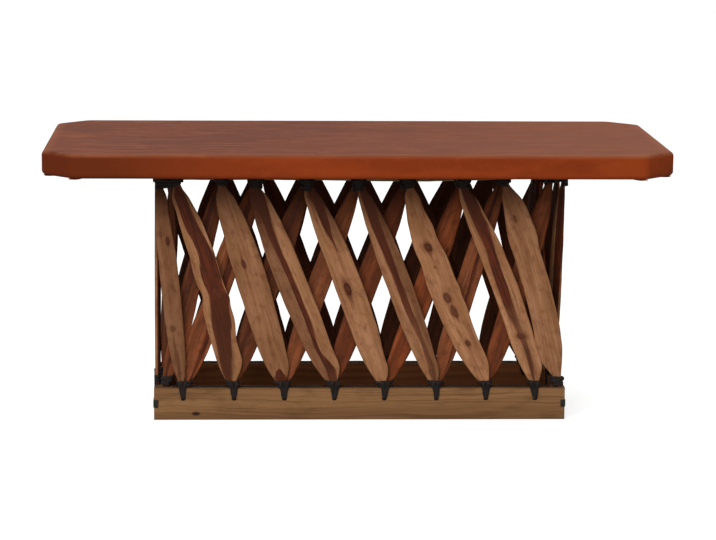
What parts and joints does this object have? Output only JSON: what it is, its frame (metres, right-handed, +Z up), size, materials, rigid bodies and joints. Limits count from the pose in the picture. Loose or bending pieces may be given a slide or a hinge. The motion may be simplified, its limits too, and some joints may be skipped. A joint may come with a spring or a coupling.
{
  "type": "low table",
  "caption": "Low equipale table: hide-covered rectangular top with clipped corners on a lattice of crossed, lashed slats over a frame of boards.",
  "frame": {"origin": "on the floor under the middle of the top", "axes": "+Z up, +X along the table's length, -Y towards the pictured front"},
  "size_m": [1.02, 0.51, 0.46],
  "materials": {
    "hide": "rubbed tan hide, satin",
    "core_wood": "plain unfinished wood, hidden by the hide except underneath",
    "board_wood": "pale bare pine",
    "pole_wood": "peeled round branch",
    "slat_wood": "split and scraped cedar, bare",
    "thong": "dark dry thong",
    "strap": "weathered dark strip"
  },
  "bodies": {
    "root": {"top_hide": "hide", "top_core": "core_wood", "front_board": "board_wood", "right_board": "board_wood", "back_board": "board_wood", "left_board": "board_wood", "front_pole": "pole_wood", "right_pole": "pole_wood", "back_pole": "pole_wood", "left_pole": "pole_wood", "front_outer_slat_1": "slat_wood", "front_outer_slat_2": "slat_wood", "front_outer_slat_3": "slat_wood", "front_outer_slat_4": "slat_wood", "front_outer_slat_5": "slat_wood", "front_outer_slat_6": "slat_wood", "front_outer_slat_7": "slat_wood", "front_outer_slat_8": "slat_wood", "front_outer_slat_9": "slat_wood", "front_inner_slat_1": "slat_wood", "front_inner_slat_2": "slat_wood", "front_inner_slat_3": "slat_wood", "front_inner_slat_4": "slat_wood", "front_inner_slat_5": "slat_wood", "front_inner_slat_6": "slat_wood", "front_inner_slat_7": "slat_wood", "front_inner_slat_8": "slat_wood", "back_outer_slat_1": "slat_wood", "back_outer_slat_2": "slat_wood", "back_outer_slat_3": "slat_wood", "back_outer_slat_4": "slat_wood", "back_outer_slat_5": "slat_wood", "back_outer_slat_6": "slat_wood", "back_outer_slat_7": "slat_wood", "back_outer_slat_8": "slat_wood", "back_outer_slat_9": "slat_wood", "back_inner_slat_1": "slat_wood", "back_inner_slat_2": "slat_wood", "back_inner_slat_3": "slat_wood", "back_inner_slat_4": "slat_wood", "back_inner_slat_5": "slat_wood", "back_inner_slat_6": "slat_wood", "back_inner_slat_7": "slat_wood", "back_inner_slat_8": "slat_wood", "right_outer_slat_1": "slat_wood", "right_outer_slat_2": "slat_wood", "right_inner_slat_1": "slat_wood", "right_inner_slat_2": "slat_wood", "left_outer_slat_1": "slat_wood", "left_outer_slat_2": "slat_wood", "left_inner_slat_1": "slat_wood", "left_inner_slat_2": "slat_wood", "foot_lashing_front_right": "thong", "foot_lashing_back_left": "thong", "head_lashing_front_right": "thong", "head_lashing_back_left": "thong", "corner_strap_front_left": "strap", "corner_strap_front_right": "strap", "corner_strap_back_left": "strap", "corner_strap_back_right": "strap"}
  },
  "joints": []
}
